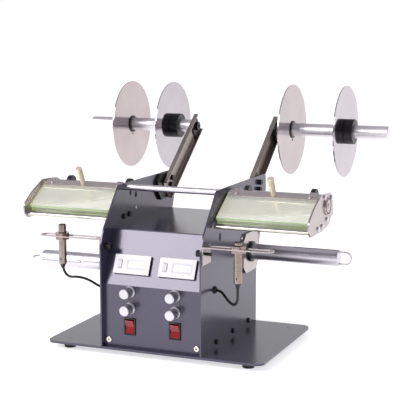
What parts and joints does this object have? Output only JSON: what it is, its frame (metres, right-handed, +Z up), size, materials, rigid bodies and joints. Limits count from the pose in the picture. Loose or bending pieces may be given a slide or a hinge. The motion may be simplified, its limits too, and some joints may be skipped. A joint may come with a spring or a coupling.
{
  "type": "label dispenser",
  "caption": "Twin-lane benchtop label dispenser: folded housing on a base plate, with label reels on rear arms, hinged clear guards over peel tables, take-up spindles and sensors.",
  "frame": {"origin": "on the table, under the middle of the machine's overall box", "axes": "+X to the machine's right as its front panel is read, +Y to the rear, +Z up"},
  "size_m": [0.444, 0.358, 0.3235],
  "materials": {
    "grey_paint": "fine satin powder coat",
    "black_rubber": "moulded rubber",
    "black_plastic": "turned acetal",
    "black_steel": "black oxide",
    "bright_screws": "polished nickel",
    "brushed_steel": "brushed",
    "polished_steel": "polished",
    "bar_aluminium": "drawn and polished",
    "turned_aluminium": "turned, clear anodised",
    "peg_brass": "pale satin",
    "nickel": "nickel plated",
    "acrylic": "clear acrylic with a green tint",
    "counter_plastic": "light moulded plastic",
    "white_plastic": "moulded",
    "black_moulding": "moulded",
    "red_plastic": "moulded",
    "roller_rubber": "ground rubber",
    "board_green": "solder mask",
    "motor_steel": "plated"
  },
  "bodies": {
    "machine": {"arm_foot_blocks": "black_plastic", "base_plate": "grey_paint", "bearing_blocks": "black_plastic", "black_screws": "black_steel", "cable_grommets": "black_rubber", "control_board": "board_green", "counters": "counter_plastic", "cross_rods": "polished_steel", "front_panel": "grey_paint", "gearmotors": "motor_steel", "peel_end_plates": "brushed_steel", "peel_tables": "polished_steel", "power_inlet": "black_moulding", "rear_cover": "grey_paint", "reel_arm_left": "brushed_steel", "reel_arm_right": "brushed_steel", "reel_axle_left": "black_steel", "reel_axle_right": "black_steel", "rubber_feet": "black_rubber", "sensor_barrels": "nickel", "sensor_brackets": "brushed_steel", "sensor_cable_left": "black_rubber", "sensor_cable_right": "black_rubber", "sensor_lock_nuts": "nickel", "side_plate_left": "grey_paint", "side_plate_right": "grey_paint", "steel_screws": "bright_screws", "switch_bezels": "black_moulding", "take_up_plates": "brushed_steel", "web_collars": "black_plastic"},
    "reel_left": {"reel_shaft_left": "bar_aluminium"},
    "inner_flange_left": {"inner_disc_left": "polished_steel", "inner_hub_left": "black_plastic"},
    "outer_flange_left": {"outer_disc_left": "polished_steel", "outer_hub_left": "black_plastic"},
    "guard_left": {"guard_panel_left": "acrylic", "guard_strip_left": "brushed_steel", "lift_peg_left": "peg_brass"},
    "feed_roller_left": {"feed_roller_left": "roller_rubber"},
    "take_up_left": {"take_up_mandrel_left": "turned_aluminium"},
    "clip_left": {"take_up_clip_left": "polished_steel"},
    "speed_knob_left": {"speed_knob_left": "turned_aluminium"},
    "delay_knob_left": {"delay_knob_left": "turned_aluminium"},
    "rocker_left": {"power_rocker_left": "red_plastic"},
    "reset_left": {"reset_button_left": "white_plastic"},
    "reel_right": {"reel_shaft_right": "bar_aluminium"},
    "inner_flange_right": {"inner_disc_right": "polished_steel", "inner_hub_right": "black_plastic"},
    "outer_flange_right": {"outer_disc_right": "polished_steel", "outer_hub_right": "black_plastic"},
    "guard_right": {"guard_panel_right": "acrylic", "guard_strip_right": "brushed_steel", "lift_peg_right": "peg_brass"},
    "feed_roller_right": {"feed_roller_right": "roller_rubber"},
    "take_up_right": {"take_up_mandrel_right": "turned_aluminium"},
    "clip_right": {"take_up_clip_right": "polished_steel"},
    "speed_knob_right": {"speed_knob_right": "turned_aluminium"},
    "delay_knob_right": {"delay_knob_right": "turned_aluminium"},
    "rocker_right": {"power_rocker_right": "red_plastic"},
    "reset_right": {"reset_button_right": "white_plastic"}
  },
  "joints": [
    {"name": "reel_spin_left", "type": "hinge", "parent": "machine", "child": "reel_left", "pos_m": [-0.14, 0.11705, 0.2615], "axis": [-1, 0, 0], "continuous": true},
    {"name": "inner_flange_slide_left", "type": "slide", "parent": "reel_left", "child": "inner_flange_left", "axis": [-1, 0, 0], "range_m": [-0.006, 0.02]},
    {"name": "outer_flange_slide_left", "type": "slide", "parent": "reel_left", "child": "outer_flange_left", "axis": [-1, 0, 0], "range_m": [-0.03, 0.04]},
    {"name": "guard_flip_left", "type": "hinge", "parent": "machine", "child": "guard_left", "pos_m": [-0.13, -0.07798, 0.19952], "axis": [-1, 0, 0], "range_deg": [0, 75]},
    {"name": "feed_roller_spin_left", "type": "hinge", "parent": "machine", "child": "feed_roller_left", "pos_m": [-0.13, -0.06845, 0.188], "axis": [-1, 0, 0], "continuous": true},
    {"name": "take_up_spin_left", "type": "hinge", "parent": "machine", "child": "take_up_left", "pos_m": [-0.13, -0.09045, 0.0995], "axis": [-1, 0, 0], "continuous": true},
    {"name": "clip_slide_left", "type": "slide", "parent": "take_up_left", "child": "clip_left", "axis": [-1, 0, 0], "range_m": [0, 0.065]},
    {"name": "speed_turn_left", "type": "hinge", "parent": "machine", "child": "speed_knob_left", "pos_m": [-0.0303, -0.16945, 0.082], "axis": [0, 1, 0], "range_deg": [-150, 150]},
    {"name": "delay_turn_left", "type": "hinge", "parent": "machine", "child": "delay_knob_left", "pos_m": [-0.0303, -0.16945, 0.061], "axis": [0, 1, 0], "range_deg": [-150, 150]},
    {"name": "rocker_tip_left", "type": "hinge", "parent": "machine", "child": "rocker_left", "pos_m": [-0.0303, -0.15845, 0.038], "axis": [1, 0, 0], "range_deg": [-14, 0]},
    {"name": "reset_press_left", "type": "slide", "parent": "machine", "child": "reset_left", "axis": [0, 0.913, -0.4079], "range_m": [0, 0.0014], "stiffness_N_per_m": 400, "springref_m": -0.001},
    {"name": "reel_spin_right", "type": "hinge", "parent": "machine", "child": "reel_right", "pos_m": [0.14, 0.11705, 0.2615], "axis": [1, 0, 0], "continuous": true},
    {"name": "inner_flange_slide_right", "type": "slide", "parent": "reel_right", "child": "inner_flange_right", "axis": [1, 0, 0], "range_m": [-0.006, 0.02]},
    {"name": "outer_flange_slide_right", "type": "slide", "parent": "reel_right", "child": "outer_flange_right", "axis": [1, 0, 0], "range_m": [-0.03, 0.04]},
    {"name": "guard_flip_right", "type": "hinge", "parent": "machine", "child": "guard_right", "pos_m": [0.13, -0.07798, 0.19952], "axis": [-1, 0, 0], "range_deg": [0, 75]},
    {"name": "feed_roller_spin_right", "type": "hinge", "parent": "machine", "child": "feed_roller_right", "pos_m": [0.13, -0.06845, 0.188], "axis": [1, 0, 0], "continuous": true},
    {"name": "take_up_spin_right", "type": "hinge", "parent": "machine", "child": "take_up_right", "pos_m": [0.13, -0.00345, 0.111], "axis": [1, 0, 0], "continuous": true},
    {"name": "clip_slide_right", "type": "slide", "parent": "take_up_right", "child": "clip_right", "axis": [1, 0, 0], "range_m": [0, 0.065]},
    {"name": "speed_turn_right", "type": "hinge", "parent": "machine", "child": "speed_knob_right", "pos_m": [0.0303, -0.16945, 0.082], "axis": [0, 1, 0], "range_deg": [-150, 150]},
    {"name": "delay_turn_right", "type": "hinge", "parent": "machine", "child": "delay_knob_right", "pos_m": [0.0303, -0.16945, 0.061], "axis": [0, 1, 0], "range_deg": [-150, 150]},
    {"name": "rocker_tip_right", "type": "hinge", "parent": "machine", "child": "rocker_right", "pos_m": [0.0303, -0.15845, 0.038], "axis": [1, 0, 0], "range_deg": [-14, 0]},
    {"name": "reset_press_right", "type": "slide", "parent": "machine", "child": "reset_right", "axis": [0, 0.913, -0.4079], "range_m": [0, 0.0014], "stiffness_N_per_m": 400, "springref_m": -0.001}
  ]
}
